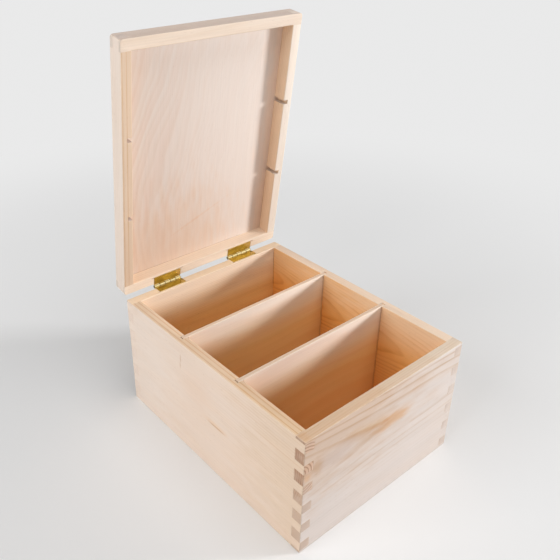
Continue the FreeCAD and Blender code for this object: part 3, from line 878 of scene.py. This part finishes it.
def make_dividers():
    """Two pale sheets with a soft figure, which stand in the grooves of the side walls."""
    for node, seed in (("front_divider", 5.0), ("rear_divider", 6.0)):
        seat = Seat(node, FRONT, UP, seed)
        name = node.replace("_", " ").title() + " Plywood"
        # painted shade along the grooves where the dividers meet the walls, and towards the bottom of the
        # box
        between = [((0, 0, 0), (seat.size.x / 2 - DIVIDER_LAP, ANY, ANY))]
        make_board(node,
                   plywood(name, seat, dict(Swirl=40.0, Band=14.0), contrast=0.15, joints=between,
                           edge_contrast=0.15, depth_shade=1.0, pale=tone(247, 235, 223),
                           pink=tone(246, 229, 215), edge=tone(230, 206, 184),
                           core=tone(222, 192, 164)))


def make_lid_rails():
    """Four rails: the outer sides are sanded, the inner ones show the raw pine."""
    rails = [
        ("lid_front_rail", FRONT, (0, -60, -22), (0, 0.02, 0), 11.0, (),
         dict(sanded=tone(207, 189, 177), rim=tone(232, 214, 197), raw=tone(240, 216, 188))),
        ("lid_rear_rail", REAR, (0, -50, -40), (0, -0.03, 0.02), 12.0, (),
         dict(rim=tone(242, 224, 206), raw=tone(238, 216, 194))),
        ("lid_left_rail", LEFT, (0, -70, -8), (0, 0.012, 0), 13.0, (1.2, 5.2),
         dict(sanded=tone(237, 221, 208), rim=tone(219, 194, 170), end=tone(208, 192, 182))),
        ("lid_right_rail", RIGHT, (0, -66, 4), (0, 0.01, 0), 14.0, (),
         dict(rim=tone(240, 227, 214), raw=tone(243, 215, 186))),
    ]
    for node, out, pith, drift, seed, depths, tones in rails:
        seat = Seat(node, out, UP, seed)
        name = node.replace("_", " ").title() + " Pine"
        make_board(node,
                   pine(name, seat, dict(Pith=pith, Drift=drift, Wander=0.8, Seed=seed),
                        contrast=0.25, end_contrast=0.15, patches=rim_lines(seat, 0.6, *depths, side=-1),
                        depth_shade=0.0, **{"end": tone(222, 208, 196), **tones}))


def make_lid_panel():
    """Long soft waves on the left that lean away from the rail, a warmer low corner, and painted light at
    the top and along the right edge.
    """
    seat = Seat("lid_panel", UP, RIGHT, seed=7.0)
    window = ((0, 0, 0), (seat.size.x / 2 - SHEET_LAP, seat.size.y / 2 - SHEET_LAP, ANY))
    # the paler patch at the top is painted light against the shadow of the front rail, and the warm strip
    # along the right edge is painted light in the shadow of the right rail
    stains = [((-115, -35, 0), (120, 110, 20), 0.8, TANNED), ((118, 0, 0), (30, ANY, 20), 1.0, PALER),
              ((-72, -4, 0), (18, 6, 20), 0.6, TANNED, 2.6), ((0, 86, 0), (ANY, 26, 20), 1.0, RAIL_SHADOW_LIGHT)]
    make_board("lid_panel",
               plywood("Lid Panel Plywood", seat,
                       dict(Swirl=60.0, Band=7.0, Bow=14.0, Bow_Middle=-60.0), contrast=0.22,
                       # painted shade along the edges where the rails meet the sheet's inner face
                       bold=((10, -78, 0), (200, 100, 100)), patches=stains, joints=[window],
                       joint_shade_strength=0.3, inside_only=True, pale=tone(228, 214, 204),
                       pink=tone(227, 208, 196)))


# ---------------------------------------------------------------- hinges

SHEET = 0.8 * MM            # brass sheet
SHEET_MADE = SHEET * 0.95   # thickness that the leaves are made with
SHEET_EASE = 0.09 * MM      # how far the edges of the sheet are rounded
GAP = 0.3 * MM              # between the two leaves when shut
LEVEL = GAP / 2 + SHEET / 2     # axis to the middle of a plate
KNUCKLES = 5
PLAY = 0.1 * MM             # beside the knuckles of the lid's leaf
BORE = 0.85 * MM            # inside radius of a knuckle
CLEAR = 1.95 * MM           # axis to the end of a plate beside the other leaf's knuckle
FLANGE = 6 * MM             # rim to the foot of the flange
PLATE_INSET = 1.5 * MM      # end of the plate to the end of its flange
FOOT_HALF = 6.6 * MM        # half the length of the flange at its foot
TAPER_START = 1.2 * MM      # above the middle of the plate, where the flange starts to taper
BEND = 0.6 * MM             # radius between flange and plate
NECK = -3.0 * MM            # y where the sheet starts to rise to its knuckles
CORNER = 2.0 * MM           # how far the plate's rounded corners reach along y
DISH = 0.12 * MM            # how far the plate is pressed hollow
DISH_END = -2.5 * MM        # y where the hollow ends
DISH_SHIFT = 1.2 * MM       # its middle, in front of half way to the front edge
DISH_HALF = 4.5 * MM        # half its width along y
ROLL_END = math.radians(283)    # how far a knuckle is rolled
PIN_DOME = 0.5 * MM         # height of the rounded end of a pin
PIN_WELD = 0.001 * MM       # points of a pin nearer than this are one


def arc(centre, radius, start, end, count):
    """Points on an arc: angle 0 is +z, and it turns towards +y."""
    points = []
    for i in range(count + 1):
        angle = start + (end - start) * i / count
        points.append((centre[0] + radius * math.sin(angle), centre[1] + radius * math.cos(angle)))
    return points


def leaf_line(front):
    """Middle line of the lid's leaf, (y, z) about the axis: flange, plate, neck and roll."""
    flange_y = front + SHEET / 2
    roll = BORE + SHEET / 2
    line = [(flange_y, GAP / 2 + FLANGE - i * FLANGE / 8) for i in range(7)]
    start = flange_y + BEND
    line += arc((start, LEVEL + BEND), BEND, math.radians(270), math.radians(180), 6)
    line += [(start + (NECK - start) * i / 14, LEVEL) for i in range(1, 15)]
    for i in range(1, 10):
        share = i / 10
        soft = share * share * (3 - 2 * share)
        line.append((NECK * (1 - share), LEVEL + (roll - LEVEL) * soft))
    line += arc((0, 0), roll, 0, ROLL_END, 26)
    return line


def leaf_half_length(y, z, half, front):
    """Half the length of the leaf there: round corners on the plate, a tapering flange."""
    if z > LEVEL + TAPER_START and y < front + SHEET:
        share = (z - LEVEL - TAPER_START) / (FLANGE - SHEET / 2 - TAPER_START)
        return (half - PLATE_INSET) * (1 - share) + FOOT_HALF * share
    from_front = max(0.0, y - front - SHEET / 2)
    if from_front >= CORNER:
        return half
    drop = 1 - math.sqrt(max(0.0, 1 - (1 - from_front / CORNER) ** 2))
    return half - PLATE_INSET * drop


def knuckle_spans(half, of_lid):
    """Ends of the leaf's own knuckles along the axis."""
    pitch = 2 * half / KNUCKLES
    spans = []
    for i in range(KNUCKLES):
        if (i % 2 == 1) == of_lid:
            play = PLAY if of_lid else 0.0
            spans.append((-half + i * pitch + play, -half + (i + 1) * pitch - play))
    return spans


def leaf_mesh(name, half, front, of_lid):
    """A sheet that runs along the leaf's line, cut out between its knuckles."""
    line = leaf_line(front)
    spans = knuckle_spans(half, of_lid)
    stops = sorted({-half, half, *[end for span in spans for end in span]})
    across = []
    for low, high in zip(stops, stops[1:]):
        across += [low + (high - low) * i / 6 for i in range(6)]
    across.append(half)
    shape = bmesh.new()
    rows = []
    for y, z in line:
        reach = leaf_half_length(y, z, half, front)
        on_plate = front + SHEET < y < DISH_END and z < SHEET
        middle = (y - front / 2 + DISH_SHIFT) / DISH_HALF
        row = []
        for x in across:
            hollow = 0.0
            if on_plate:
                hollow = DISH * max(0.0, 1 - middle ** 2) * max(0.0, 1 - (x / half) ** 4)
            row.append(shape.verts.new((x * reach / half, y, z + hollow)))
        rows.append(row)
    past_plate = next(i for i, point in enumerate(line) if point[0] > -CLEAR)
    for i in range(len(rows) - 1):
        for j in range(len(across) - 1):
            middle = (across[j] + across[j + 1]) / 2
            in_knuckle = any(low < middle < high for low, high in spans)
            if i + 1 < past_plate or in_knuckle:
                shape.faces.new((rows[i][j], rows[i][j + 1], rows[i + 1][j + 1], rows[i + 1][j]))
    bmesh.ops.delete(shape, geom=[v for v in shape.verts if not v.link_faces], context="VERTS")
    if not of_lid:
        bmesh.ops.scale(shape, vec=(1, 1, -1), verts=shape.verts)
    bmesh.ops.recalc_face_normals(shape, faces=shape.faces)
    return thickened(as_mesh(name, shape))


def thickened(mesh):
    """The sheet with its thickness and slightly rounded edges."""
    source = add_object("sheet", mesh)
    solid = source.modifiers.new("thickness", "SOLIDIFY")
    solid.thickness = SHEET_MADE
    solid.offset = 0.0
    return rounded_mesh(applied(source), SHEET_EASE)


def pin_mesh(name, half, radius):
    """A drawn pin with domed ends, turned about X."""
    profile = [(-half, 0.0)]
    for i in range(1, 7):
        angle = math.radians(90) * i / 6
        profile.append((-half + PIN_DOME * (1 - math.cos(angle)), radius * math.sin(angle)))
    profile += [(-x, r) for x, r in reversed(profile)]
    shape = bmesh.new()
    line = [shape.verts.new((x, 0, r)) for x, r in profile]
    edges = [shape.edges.new(pair) for pair in zip(line, line[1:])]
    bmesh.ops.spin(shape, geom=line + edges, axis=(1, 0, 0), cent=(0, 0, 0),
                   angle=2 * math.pi, steps=32)
    bmesh.ops.remove_doubles(shape, verts=shape.verts, dist=PIN_WELD)
    bmesh.ops.recalc_face_normals(shape, faces=shape.faces)
    mesh = as_mesh(name, shape)
    mesh.shade_smooth()
    return mesh


def make_hinge(side, seed):
    """Box leaf, lid leaf and pin of one hinge."""
    pin_low, pin_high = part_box(side + "_hinge_pin")
    middle = Vector(((pin_low.x + pin_high.x) / 2, AXIS.y, AXIS.z))
    half = (pin_high.x - pin_low.x) / 2
    leaf_low, leaf_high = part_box(side + "_hinge_box_leaf")
    front = leaf_low.y - AXIS.y
    material = brass(side.title() + " Hinge Brass", middle, 2 * half, seed)
    for of_lid in (False, True):
        body = "lid" if of_lid else "box"
        node = f"{side}_hinge_{body}_leaf"
        mesh = leaf_mesh(node + "_sheet", half, front, of_lid)
        turn = OPENING.to_4x4() if of_lid else Matrix.Identity(4)
        mesh.transform(Matrix.Translation(middle) @ turn)
        new_piece(node + "_sheet", mesh, body, material, [node])
    pin = pin_mesh(side + "_hinge_pin_rod", half, (pin_high.z - pin_low.z) / 2)
    pin.transform(Matrix.Translation(middle))
    new_piece(side + "_hinge_pin_rod", pin, "box", material, [side + "_hinge_pin"])


# ---------------------------------------------------------------- stage, lights and camera

FLOOR_REACH = 6.0           # from the middle of the floor to its sides
FLOOR_NEAR = 0.3            # as far as this the floor is lit and shaded
FLOOR_FAR = 0.9             # beyond this it is as bright as the air
AIR_LIGHT = 0.26            # what the surroundings give to the object
AIR_SEEN = 0.82             # how bright they look
AIM_HEIGHT = 0.12           # the lamps aim at the box this far above the floor


def seen_directly(graph):
    """1 for what the camera sees, in a mirror too."""
    rays = graph.add("ShaderNodeLightPath").outputs
    seen = graph.math("MAXIMUM", rays["Is Camera Ray"], rays["Is Glossy Ray"])
    return graph.math("MAXIMUM", seen, rays["Is Transmission Ray"])


def make_floor():
    """A wide pale sheet under the box."""
    shape = bmesh.new()
    corners = [(-1, -1), (1, -1), (1, 1), (-1, 1)]
    shape.faces.new([shape.verts.new((x * FLOOR_REACH, y * FLOOR_REACH, 0)) for x, y in corners])
    mesh = as_mesh("floor", shape)
    material, g, shader = new_material("Pale Floor")
    shader.inputs["Base Color"].default_value = (0.86, 0.86, 0.86, 1.0)
    shader.inputs["Roughness"].default_value = 0.9
    shader.inputs["Specular IOR Level"].default_value = 0.1
    where = g.add("ShaderNodeTexCoord").outputs["Object"]
    far = g.step(g.vector("LENGTH", where), FLOOR_NEAR, FLOOR_FAR)
    plain = g.times(far, seen_directly(g))
    glow = g.add("ShaderNodeEmission", {"Color": (1.0, 1.0, 1.0, 1.0), "Strength": AIR_SEEN})
    blend = g.add("ShaderNodeMixShader", {0: plain, 1: shader.outputs[0], 2: glow.outputs[0]})
    output = next(node for node in g.tree.nodes if node.type == "OUTPUT_MATERIAL")
    g.feed(output.inputs["Surface"], blend.outputs[0])
    mesh.materials.append(material)
    floor = add_object("floor", mesh)


def make_air():
    """Soft white surroundings, with a plain strength for what is seen of them."""
    world = bpy.data.worlds.new("Studio Air")
    bpy.context.scene.world = world
    world.use_nodes = True
    world.node_tree.nodes.clear()
    g = Graph(world.node_tree)
    strength = g.math("MULTIPLY_ADD", seen_directly(g), AIR_SEEN - AIR_LIGHT, AIR_LIGHT)
    back = g.add("ShaderNodeBackground", {"Color": (1.0, 1.0, 1.0, 1.0), "Strength": strength})
    g.feed(g.add("ShaderNodeOutputWorld").inputs[0], back.outputs[0])


def soft_light(name, azimuth, elevation, distance, side, level):
    """A square lamp that aims at the box and lights a facing surface at `level` there.

    Azimuth is from the front towards the right, in degrees.
    """
    low, high = cad_box
    target = Vector(((low.x + high.x) / 2, (low.y + high.y) / 2, AIM_HEIGHT))
    a = math.radians(azimuth)
    e = math.radians(elevation)
    away = Vector((math.sin(a) * math.cos(e), -math.cos(a) * math.cos(e), math.sin(e)))
    lamp = bpy.data.lights.new(name, "AREA")
    lamp.shape = "SQUARE"
    lamp.size = side
    lamp.energy = level * math.pi ** 2 * distance ** 2
    thing = add_object(name, lamp)
    thing.location = target + away * distance
    thing.rotation_euler = (-away).to_track_quat("-Z", "Y").to_euler()


def make_lights():
    """A low lamp at the front right, and two wide ones from the left and from above."""
    soft_light("window_light", 54.5, 10, 3.0, 0.5, 0.82)
    soft_light("left_fill", -95, 27, 2.2, 1.6, 0.52)
    soft_light("top_light", 5, 72, 2.2, 1.6, 0.35)


def make_camera():
    """It stands at the front left and looks down into the open box."""
    camera = bpy.data.cameras.new("camera")
    camera.sensor_width = 36.0
    camera.lens = 43.505
    camera.shift_x = 0.05898
    camera.shift_y = -0.04483
    camera.clip_start = 0.01
    camera.clip_end = 50.0
    thing = add_object("camera", camera)
    thing.location = (-0.35589, -0.37259, 0.46714)
    thing.rotation_euler = Euler([math.radians(angle) for angle in (61.318, 0.0, -39.659)])
    bpy.context.scene.camera = thing


# ---------------------------------------------------------------- build

bpy.context.scene.view_settings.view_transform = "Standard"

make_camera()
make_floor()
make_air()
make_lights()

make_front_wall()
make_rear_wall()
make_left_wall()
make_right_wall()
make_bottom()
make_dividers()
make_lid_rails()
make_lid_panel()
make_hinge("left", 1.0)
make_hinge("right", 8.0)
